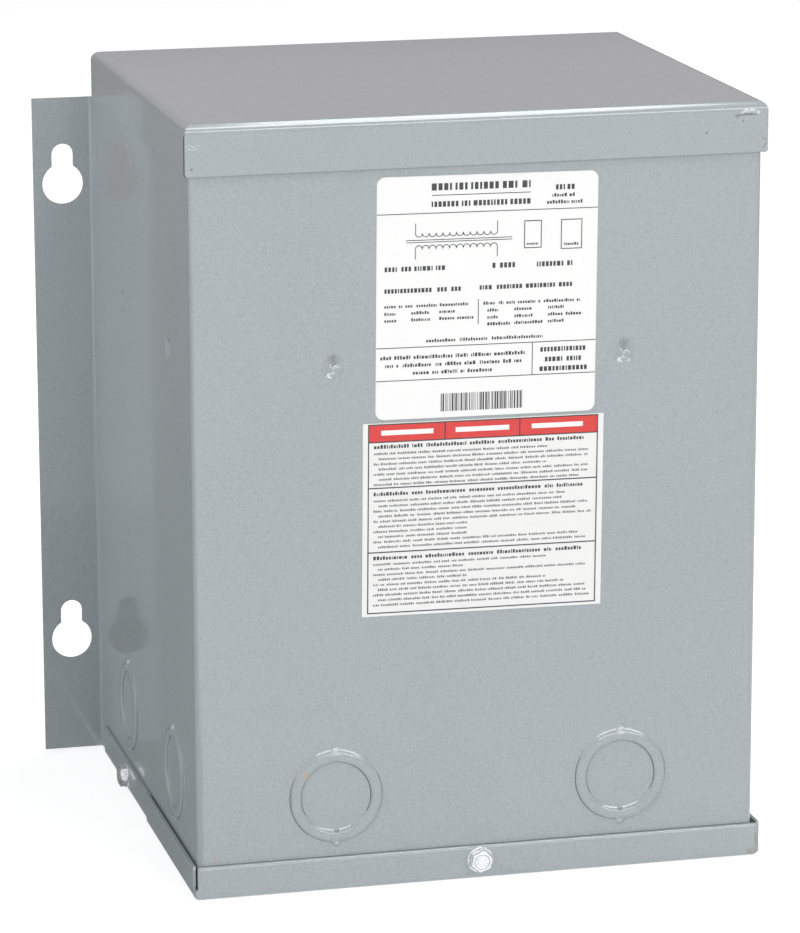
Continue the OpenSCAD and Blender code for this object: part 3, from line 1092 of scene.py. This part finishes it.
        # Painted highlights: light spots on the domed top tab of the two front and the two left knockouts.
        tab_highlights = []
        for knockout in KNOCKOUTS[:4]:
            low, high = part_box(f"ring_{knockout}")
            middle = (low + high) / 2
            if knockout.startswith("front"):
                tab_highlights.append((middle.x + 0.2 * MM, low.y, high.z - 1.7 * MM))
            else:
                tab_highlights.append((low.x, middle.y, high.z - 1.7 * MM))
        return painted_metal(
            "knockout_coat",
            settings.paint,
            spots=(
                (tuple(spot), 2.0 * MM, 0.95, settings.rust, 0.5),
                # Painted highlights on the top tabs.
                *((tab_highlight, 2.1 * MM, 0.6, settings.scraped_and_highlight, 0.7) for tab_highlight in tab_highlights),
            ),
            rolls=[
                roll
                for centre in knockout_centres()
                for roll in (
                    (centre, (1, 1, 1), 16.1 * MM, 17.0 * MM, -0.27 * MM),
                    (below(centre), (1, 1, 1), 17.25 * MM, 17.95 * MM, 0.3 * MM),
                    (centre, (1, 1, 1), 13.6 * MM, 14.4 * MM, 0.24 * MM),
                )
            ],
            rounding=settings.knockout_round,
        )


class TRANSFORMER_OT_knockout_seams(Operator):
    """Lays the paint that bridges the sheared gaps round the knockouts"""

    bl_idname = "transformer.knockout_seams"
    bl_label = "Bridge the Knockout Gaps"

    def execute(self, context):
        settings = context.scene.transformer_paint
        coat = painted_metal("seam_coat", settings.paint, rounding=0.1 * MM)
        for knockout in KNOCKOUTS:
            disc_low, disc_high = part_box(f"disc_{knockout}")
            ring_low, ring_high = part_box(f"ring_{knockout}")
            spot = (disc_low + disc_high) / 2
            if knockout.startswith("front"):
                spot.y, turn = disc_low.y, 0.0
                radii = ((disc_high.x - disc_low.x) / 2, (ring_high.x - ring_low.x) / 2)
            else:
                left = knockout.startswith("left")
                spot.x, turn = (disc_low.x, -math.pi / 2) if left else (disc_high.x, math.pi / 2)
                radii = ((disc_high.y - disc_low.y) / 2, (ring_high.y - ring_low.y) / 2)
            place = Matrix.Translation(spot) @ Matrix.Rotation(turn, 4, "Z")
            add_piece(f"knockout_seam_{knockout}", self.seam_mesh(place, *radii), coat)
        return {"FINISHED"}

    @staticmethod
    def seam_mesh(place, disc_radius, ring_radius):
        """Shallow slopes of drawn metal and paint at the foot of the ring, outside and inside."""
        steps = 8
        sunk = -0.04
        curve = [(i / steps, 0.42 * (i / steps) ** 1.3 if i else sunk) for i in range(steps + 1)]
        curve.append((1.0, sunk))
        outer_foot, inner_foot = (ring_radius - 0.1 * MM, 1.1 * MM), (disc_radius + 0.3 * MM, -1.05 * MM)
        arcs = ((outer_foot, 25, 155, 25, 155), (inner_foot, 205, 266, 205, 335), (inner_foot, 274, 335, 205, 335))
        form = bmesh.new()
        for (foot, reach), start, end, first, last in arcs:
            count = round((end - start) / 2.5)
            section = curve
            rows = []
            for i in range(count + 1):
                turn = start + (end - start) * i / count
                taper = min(1.0, 0.1 + min(turn - first, last - turn) / 22)
                angle = math.radians(turn)
                row = []
                for share, rise in section:
                    radius = foot + reach * taper * (1 - share)
                    rise *= MM * (taper if rise > 0 else 1)
                    spot = Vector((radius * math.cos(angle), -rise, radius * math.sin(angle)))
                    row.append(form.verts.new(place @ spot))
                rows.append(row)
            form.faces.new(rows[0])
            form.faces.new(rows[-1])
            for near, far in zip(rows, rows[1:]):
                for i in range(len(section)):
                    k = (i + 1) % len(section)
                    face = form.faces.new((near[i], near[k], far[k], far[i]))
                    face.smooth = i < steps
        bmesh.ops.recalc_face_normals(form, faces=form.faces)
        for edge in form.edges:
            edge.smooth = len({face.smooth for face in edge.link_faces}) == 1
        mesh = bpy.data.meshes.new("knockout_seam")
        form.to_mesh(mesh)
        form.free()
        return mesh


class TRANSFORMER_OT_potting(Operator):
    """Gives the potted core and coil its resin"""

    bl_idname = "transformer.potting"
    bl_label = "Pot the Core"

    def execute(self, context):
        dress("potted_core", potting_resin())
        return {"FINISHED"}


class TRANSFORMER_OT_cover_screws(Operator):
    """Plates the three cover screws"""

    bl_idname = "transformer.cover_screws"
    bl_label = "Plate the Cover Screws"

    def execute(self, context):
        low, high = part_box("screw_front")
        centre = ((low.x + high.x) / 2, low.y, (low.z + high.z) / 2)
        dress("screw_front", zinc_plate("bright_zinc_front", centre, (1, 0, 0), math.radians(20)))
        for name, way, turn in (("left", -1, 47), ("right", 1, 8)):
            low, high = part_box(f"screw_{name}")
            centre = (low.x, (low.y + high.y) / 2, (low.z + high.z) / 2)
            zinc = zinc_plate(f"bright_zinc_{name}", centre, (0, way, 0), math.radians(turn))
            dress(f"screw_{name}", zinc)
        return {"FINISHED"}


class TRANSFORMER_OT_tie_points(Operator):
    """Makes the star-pierced tie points at the bottom of the six dimples"""

    bl_idname = "transformer.tie_points"
    bl_label = "Make the Tie Points"

    def execute(self, context):
        ties = context.scene.transformer_ties
        front_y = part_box("disc_front_left")[0].y
        for knockout in KNOCKOUTS:
            low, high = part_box(f"disc_{knockout}")
            middle = (low + high) / 2
            if knockout.startswith("front"):
                spot, turn = Vector((middle.x, front_y, ties.height)), 0.0
            elif knockout.startswith("left"):
                spot, turn = Vector((low.x, middle.y, ties.height)), -math.pi / 2
            else:
                spot, turn = Vector((high.x, middle.y, ties.height)), math.pi / 2
            place = Matrix.Translation(spot) @ Matrix.Rotation(turn, 4, "Z")
            coat = self.tie_coat(knockout, place)
            add_piece(f"tie_point_{knockout}", self.star_mesh(ties, place), coat)
        return {"FINISHED"}

    @staticmethod
    def tie_coat(name, place):
        """The case's paint with painted highlights along the petals and painted shade at the centre and in the upper
        part of the dimple.
        """
        settings = bpy.context.scene.transformer_paint

        def here(x, z):
            return tuple(place @ Vector((x * MM, 1.1 * MM, z * MM)))

        # Painted highlights: light lines along the right and lower petals; the first spot below is a painted highlight
        # on the left petal.
        right = [here(0.8, -0.1), here(2.5, -0.9)]
        low = [here(0.1, -0.8), here(-0.1, -2.2)]
        return painted_metal(
            f"tie_coat_{name}",
            settings.paint,
            lines=(
                (right, 0.75 * MM, 0.2 * MM, 0.0, settings.scraped_and_highlight, 1.0),
                (low, 0.5 * MM, 0.2 * MM, 0.3, settings.scraped_and_highlight, 0.6),
            ),
            spots=(
                (here(-0.7, 0.3), 0.75 * MM, 0.6, settings.scraped_and_highlight, 0.9),
                # Painted shade: a dark spot at the centre and a soft dark spot in the upper part of the dimple.
                (here(0.2, 0.5), 0.8 * MM, 0.8, settings.grime_and_shade, 0.6),
                (here(0.3, 2.0), 2.2 * MM, 1.0, settings.grime_and_shade, 0.4),
            ),
        )

    @staticmethod
    def star_mesh(ties, place):
        """The dimple's bottom with four petals pressed in; its rim runs out under the dimple."""
        rings, spokes = 34, 128
        petals = ((-24, 2.75, 0.62), (-96, 2.3, 0.5), (172, 1.8, 0.5), (80, 1.9, 0.45))
        steep = math.tan(ties.slope)
        form = bmesh.new()
        grid = []
        for i in range(rings + 1):
            radius = ties.radius * i / rings
            share = i / rings
            row = []
            for j in range(spokes if i else 1):
                angle = 2 * math.pi * j / spokes
                x, z = radius * math.cos(angle), radius * math.sin(angle)
                ball = ties.dimple_ball
                depth = ties.dimple_depth - ball + math.sqrt(ball**2 - radius**2)
                depth -= 0.07 * MM * (1 - share**10) - 0.02 * MM * share**10
                pressed = 0.0
                for turn, length, half in petals:
                    cos, sin = math.cos(math.radians(turn)), math.sin(math.radians(turn))
                    along = (x * cos + z * sin) / (length * MM)
                    aside = abs(z * cos - x * sin) / MM
                    if 0 < along < 1:
                        wide = half * (0.3 + 0.7 * along) * min(1.0, (1 - along) / 0.12)
                        pressed = max(pressed, steep * (wide - aside))
                depth += max(0.0, pressed) * MM
                row.append(form.verts.new(place @ Vector((x, depth, z))))
            grid.append(row)
        for j in range(spokes):
            form.faces.new((grid[0][0], grid[1][j], grid[1][(j + 1) % spokes]))
        for i in range(1, rings):
            for j in range(spokes):
                k = (j + 1) % spokes
                form.faces.new((grid[i][j], grid[i + 1][j], grid[i + 1][k], grid[i][k]))
        inward = place.to_3x3() @ Vector((0, 0.85 * MM, 0))
        back = [form.verts.new(corner.co + inward) for corner in grid[-1]]
        for j in range(spokes):
            k = (j + 1) % spokes
            form.faces.new((grid[-1][j], back[j], back[k], grid[-1][k]))
        form.faces.new(back)
        bmesh.ops.recalc_face_normals(form, faces=form.faces)
        mesh = bpy.data.meshes.new("tie_point")
        form.to_mesh(mesh)
        form.free()
        for face in mesh.polygons:
            face.use_smooth = True
        return mesh


class TRANSFORMER_OT_rating_label(Operator):
    """Prints the upper label: ruled fields, plain bars, a winding symbol and a bar pattern"""

    bl_idname = "transformer.rating_label"
    bl_label = "Print the Rating Label"

    def execute(self, context):
        labels = context.scene.transformer_labels
        dress("rating_label", label_surface("rating_film_white", labels.film, 0.006, 0.38))
        ink = Print("rating_label")
        half = ink.width / MM / 2
        rule = 0.32
        for z in (75.3, 26.4, 14.3):
            ink.bar(-half, z - rule / 2, half, z + rule / 2)
        ink.bar(17.3 - rule / 2, 14.3, 17.3 + rule / 2, 26.4)
        ink.bar(-3.2 - rule / 2, 34.0, -3.2 + rule / 2, 43.2)
        # Heading: a wide double line and a date field
        ink.words(-21, 83.5, 15.8, 2.6, (7.5, 4.5, 10.5, 6.0), 1.3)
        ink.bar(-20.8, 81.6, 15.8, 81.9)
        ink.words(-21, 77.5, 15.8, 2.0, (10.0, 3.2, 12.5), 1.2)
        ink.words(25.3, 82.3, 33.0, 1.9, (3.4,), 0.9)
        ink.words(24.0, 79.7, 34.4, 1.3, (5.6, 2.4), 0.8)
        ink.words(22.0, 77.2, 35.4, 1.3, (8.4,), 0.8)
        # Winding symbol and two empty inspection boxes
        coil_symbol(ink, -11.6, 68.0, 62.4, 12, 1.27, 0.3)
        ink.box(13.6, 61.2, 20.2, 71.4, 0.35)
        ink.box(27.4, 60.4, 35.4, 71.4, 0.35)
        ink.words(14.6, 62.4, 19.4, 0.9, (4.6,), 1.0)
        ink.words(28.6, 61.8, 34.4, 1.0, (5.6,), 1.0)
        # Rating rows
        ink.words(-38.2, 54.4, -15.2, 1.7, (5.0, 3.6, 6.8), 1.2)
        ink.words(1.9, 54.4, 11.2, 1.9, (1.6, 6.2), 1.2)
        ink.words(18.5, 54.3, 32.8, 1.8, (10.0, 2.0), 1.4)
        ink.words(-38.2, 46.5, -6.7, 1.6, (18.0, 3.6, 4.2), 1.6)
        ink.words(-2.8, 46.6, 34.0, 1.6, (5.0, 9.5, 11.0), 1.4)
        # Connection table
        table = (
            (-38.2, 41.1, (4.2, 1.4, 3.0, 7.6, 11.0), -6.0),
            (-38.2, 38.4, (4.4,), -33.6),
            (-28.2, 38.5, (7.0,), -21.0),
            (-17.8, 38.6, (5.8,), -11.8),
            (-38.2, 35.9, (4.4,), -33.6),
            (-28.2, 36.0, (7.0,), -21.0),
            (-17.8, 36.1, (5.6, 6.4), -4.8),
            (-1.3, 41.0, (4.6, 1.8, 3.2, 6.6, 0.9, 11.4), 35.0),
            (0.2, 38.4, (4.0,), 4.3),
            (10.3, 38.5, (6.8,), 17.2),
            (23.0, 38.6, (6.0,), 29.1),
            (0.2, 35.8, (4.0,), 4.3),
            (10.3, 35.9, (6.8,), 17.2),
            (23.0, 36.0, (5.6, 6.2), 35.9),
            (0.2, 33.3, (8.6,), 9.0),
            (10.3, 33.4, (10.6,), 21.0),
            (23.0, 33.5, (6.0,), 29.2),
        )
        for left, bottom, lengths, right in table:
            ink.words(left, bottom, right, 1.15, lengths, 1.1)
        ink.words(-22.6, 28.0, 22.1, 1.2, (11.0, 10.4, 19.0), 1.6)
        ink.words(-39.6, 22.1, 15.6, 1.35, (4.0, 6.0, 14.5, 4.5, 7.5, 11.5), 1.2)
        ink.words(-37.8, 19.2, 13.8, 1.35, (3.0, 1.2, 11.0, 2.4, 6.0, 4.6, 7.5, 3.0), 1.2)
        ink.words(-27.4, 16.3, 3.3, 1.35, (6.0, 2.2, 6.0, 1.4, 9.5), 1.2)
        ink.words(20.3, 22.7, 37.6, 1.7, (18.0,), 1.2)
        ink.words(22.1, 19.0, 36.0, 1.7, (6.8, 5.4), 1.4)
        ink.words(20.1, 15.5, 38.0, 1.7, (18.0,), 1.2)
        bar_pattern(ink, -16.9, 2.2, 14.0, 8.8)
        ink.finish("rating_print", label_surface("rating_ink", labels.ink, 0.1, 0.45))
        return {"FINISHED"}


class TRANSFORMER_OT_notice_label(Operator):
    """Prints the lower label: a plain heading band and three ruled fields of line fillers"""

    bl_idname = "transformer.notice_label"
    bl_label = "Print the Notice Label"

    def execute(self, context):
        labels = context.scene.transformer_labels
        dress("notice_label", label_surface("notice_film_white", labels.notice_film, 0.008, 0.5))
        left, right, bottom, top = -43.2, 43.0, 1.25, 71.8
        rule = 0.45
        band_foot = 65.3
        cells = (left, -14.6, 13.5, right)
        ink = Print("notice_label")
        ink.box(left - rule / 2, bottom - rule / 2, right + rule / 2, top + rule / 2, rule)
        for z in (band_foot, 48.2, 24.1):
            ink.bar(left, z - rule / 2, right, z + rule / 2)
        for x in cells[1:3]:
            ink.bar(x - rule / 2, band_foot, x + rule / 2, top)
        for z in (62.9, 45.3, 21.3):
            ink.words(-41.2, z, 38.5, 1.35, (13.0, 4.0, 15.0, 9.5, 16.5, 3.2, 10.0), 1.3)
        ink.finish("notice_print", label_surface("notice_ink", labels.ink, 0.1, 0.5))

        fine = Print("notice_label")
        draw = random.Random(3)
        for first, count in ((60.6, 7), (43.0, 10), (19.2, 9)):
            for row in range(count):
                start = -41.2 if row % 2 == 0 else -39.4
                end = draw.choice((-6.0, 24.0, 31.0, 36.0, 39.5, 41.0))
                lengths = [draw.uniform(1.6, 7.5) for _ in range(11)]
                fine.words(start, first - 1.92 * row, end, 0.85, lengths, 0.7)
        fine.finish("notice_lines", label_surface("notice_grey_ink", labels.grey_ink, 0.12, 0.5))

        band = Print("notice_label")
        for start, end in zip(cells, cells[1:]):
            band.bar(start + rule / 2, band_foot + rule / 2, end - rule / 2, top - rule / 2)
        band.finish("notice_band", label_surface("band_ink", labels.band_ink, 0.03, 0.45))

        title = Print("notice_label")
        title.layer = 1
        for start, end in ((-38.5, -19.0), (-10.7, 9.5), (18.0, 37.4)):
            title.bar(start, 67.8, end, 69.6)
        title.finish("notice_titles", label_surface("title_white", labels.film, 0.02, 0.5))
        return {"FINISHED"}


class TRANSFORMER_OT_stage(Operator):
    """Sets up the floor, the soft lights and the camera"""

    bl_idname = "transformer.stage"
    bl_label = "Set the Stage"

    def execute(self, context):
        stage = context.scene.transformer_stage
        self.make_floor(stage)
        self.make_world(context.scene, stage)
        self.make_cards(stage)
        self.make_lights(stage)
        self.make_camera(context.scene, stage)
        context.scene.view_settings.view_transform = "Standard"
        return {"FINISHED"}

    @staticmethod
    def seen_directly(tree):
        """1 for rays from the camera, from gloss and through glass."""
        path = tree.nodes.new("ShaderNodeLightPath").outputs
        seen = calc(tree, "MAXIMUM", path["Is Camera Ray"], path["Is Glossy Ray"])
        return calc(tree, "MAXIMUM", seen, path["Is Transmission Ray"])

    def make_floor(self, stage):
        form = bmesh.new()
        bmesh.ops.create_grid(form, x_segments=1, y_segments=1, size=12.0)
        mesh = bpy.data.meshes.new("floor")
        form.to_mesh(mesh)
        form.free()
        floor = bpy.data.objects.new("floor", mesh)
        bpy.context.scene.collection.objects.link(floor)
        material = bpy.data.materials.new("pale_floor")
        material.use_nodes = True
        tree = material.node_tree
        shader = tree.nodes["Principled BSDF"]
        shader.inputs["Base Color"].default_value = stage.floor
        shader.inputs["Roughness"].default_value = 0.9
        shader.inputs["Specular IOR Level"].default_value = 0.0
        glow = calc(tree, "MULTIPLY_ADD", self.seen_directly(tree), 0.35, 0.25)
        feed(tree, shader.inputs["Emission Strength"], glow)
        shader.inputs["Emission Color"].default_value = (1, 1, 1, 1)
        mesh.materials.append(material)

    def make_world(self, scene, stage):
        world = bpy.data.worlds.new("studio")
        world.use_nodes = True
        tree = world.node_tree
        background = tree.nodes["Background"]
        background.inputs["Color"].default_value = (1, 1, 1, 1)
        seen = self.seen_directly(tree)
        feed(tree, background.inputs["Strength"], span(tree, seen, 0.0, 1.0, stage.sky, 1.0))
        scene.world = world

    @staticmethod
    def make_cards(stage):
        """Hangs glowing grey cards where only the gloss of the sides and the top sees them; the dark card behind the
        wing is painted shade.
        """
        materials = []
        for name in ("grey_card", "keyhole_shade_card"):
            material, tree, shader, place = start_material(name)
            shader.inputs["Base Color"].default_value = (0, 0, 0, 1)
            shader.inputs["Specular IOR Level"].default_value = 0.0
            shader.inputs["Emission Strength"].default_value = 1.0
            level = add_node(tree, "ShaderNodeSeparateXYZ", {0: place}).outputs["Z"]
            if name == "grey_card":
                middle = blend_colour(tree, 0.3, stage.low_card, stage.high_card)
                lower = blend_colour(tree, span(tree, level, 0.0, 0.28), stage.low_card, middle)
                colour = blend_colour(tree, span(tree, level, 0.29, 0.33), lower, stage.high_card)
            else:
                upper = blend_colour(tree, 0.45, stage.keyhole_shade_card, stage.high_card)
                colour = blend_colour(tree, span(tree, level, 0.1, 0.18), stage.keyhole_shade_card, upper)
            feed(tree, shader.inputs["Emission Color"], colour)
            materials.append(material)
        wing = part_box("wrapper")
        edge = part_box("bottom_cover")[0].x
        near = wing[1].y + 5 * MM
        spans = {
            "rear_card": ((-1.3, 0.3, 0.0), (1.5, 0.3, 0.0), (1.5, 0.3, 1.3), (-1.3, 0.3, 1.3)),
            "side_card": ((-1.3, -0.3, MM), (edge, -0.3, MM), (edge, 0.3, MM), (-1.3, 0.3, MM)),
            # Painted shade: the dark card behind the wing.
            "wing_shade_card": ((wing[0].x, near, MM), (edge, near, MM), (edge, near, 0.27), (wing[0].x, near, 0.27)),
        }
        for name, corners in spans.items():
            mesh = bpy.data.meshes.new(name)
            mesh.from_pydata(corners, [], [(0, 1, 2, 3)])
            mesh.materials.append(materials[name == "wing_shade_card"])
            card = bpy.data.objects.new(name, mesh)
            card.visible_camera = False
            card.visible_diffuse = False
            card.visible_transmission = False
            card.visible_shadow = False
            bpy.context.scene.collection.objects.link(card)

    @staticmethod
    def make_lights(stage):
        lights = (
            ("front_softbox", (0.95, -2.5, 1.25), (0, 0, 0.14), (2.8, 0.38), stage.front_power),
            ("overhead_strip", (0.8, -0.52, 3.3), (0.8, -0.52, 0), (0.5, 4.0), stage.strip_power),
            ("left_softbox", (-2.2, -0.9, 1.7), (0, 0, 0.14), (2.0, 1.6), stage.left_power),
        )
        for name, spot, target, size, power in lights:
            data = bpy.data.lights.new(name, "AREA")
            data.shape = "RECTANGLE"
            data.size, data.size_y = size
            data.energy = power
            lamp = bpy.data.objects.new(name, data)
            lamp.location = spot
            facing = Vector(target) - lamp.location
            lamp.rotation_euler = facing.to_track_quat("-Z", "Y").to_euler()
            bpy.context.scene.collection.objects.link(lamp)

    @staticmethod
    def make_camera(scene, stage):
        low, high = CAD_BOX
        aim = (low + high) / 2 + Vector(stage.aim)
        level = math.cos(stage.elevation)
        forward = Vector(
            (math.sin(stage.azimuth) * level, math.cos(stage.azimuth) * level, -math.sin(stage.elevation))
        )
        data = bpy.data.cameras.new("camera")
        data.sensor_fit = "HORIZONTAL"
        data.sensor_width = 36.0
        data.lens = stage.lens
        camera = bpy.data.objects.new("camera", data)
        camera.location = aim - forward * stage.distance
        turn = forward.to_track_quat("-Z", "Y").to_matrix() @ Matrix.Rotation(-stage.roll, 3, "Z")
        camera.rotation_euler = turn.to_euler()
        scene.collection.objects.link(camera)
        scene.camera = camera


OPERATORS = (
    TRANSFORMER_OT_stage,
    TRANSFORMER_OT_case_paint,
    TRANSFORMER_OT_knockout_seams,
    TRANSFORMER_OT_potting,
    TRANSFORMER_OT_cover_screws,
    TRANSFORMER_OT_tie_points,
    TRANSFORMER_OT_rating_label,
    TRANSFORMER_OT_notice_label,
)


class TRANSFORMER_PT_dressing(Panel):
    """Lists the steps of the dressing and their settings"""

    bl_idname = "TRANSFORMER_PT_dressing"
    bl_label = "Transformer"
    bl_space_type = "VIEW_3D"
    bl_region_type = "UI"
    bl_category = "Transformer"

    def draw(self, context):
        for step in OPERATORS:
            self.layout.operator(step.bl_idname)
        for name, group in GROUPS_OF_SETTINGS.items():
            box = self.layout.box()
            box.label(text=group.__doc__.split(".")[0])
            settings = getattr(context.scene, name)
            for setting in group.__annotations__:
                box.prop(settings, setting)


CLASSES = (*GROUPS_OF_SETTINGS.values(), *OPERATORS, TRANSFORMER_PT_dressing)


def register():
    for cls in CLASSES:
        bpy.utils.register_class(cls)
    for name, group in GROUPS_OF_SETTINGS.items():
        setattr(bpy.types.Scene, name, PointerProperty(type=group))


def unregister():
    for name in GROUPS_OF_SETTINGS:
        delattr(bpy.types.Scene, name)
    for cls in reversed(CLASSES):
        bpy.utils.unregister_class(cls)


def main():
    register()
    bpy.ops.transformer.stage()
    bpy.ops.transformer.case_paint()
    bpy.ops.transformer.knockout_seams()
    bpy.ops.transformer.potting()
    bpy.ops.transformer.cover_screws()
    bpy.ops.transformer.tie_points()
    bpy.ops.transformer.rating_label()
    bpy.ops.transformer.notice_label()


if __name__ == "__main__":
    main()
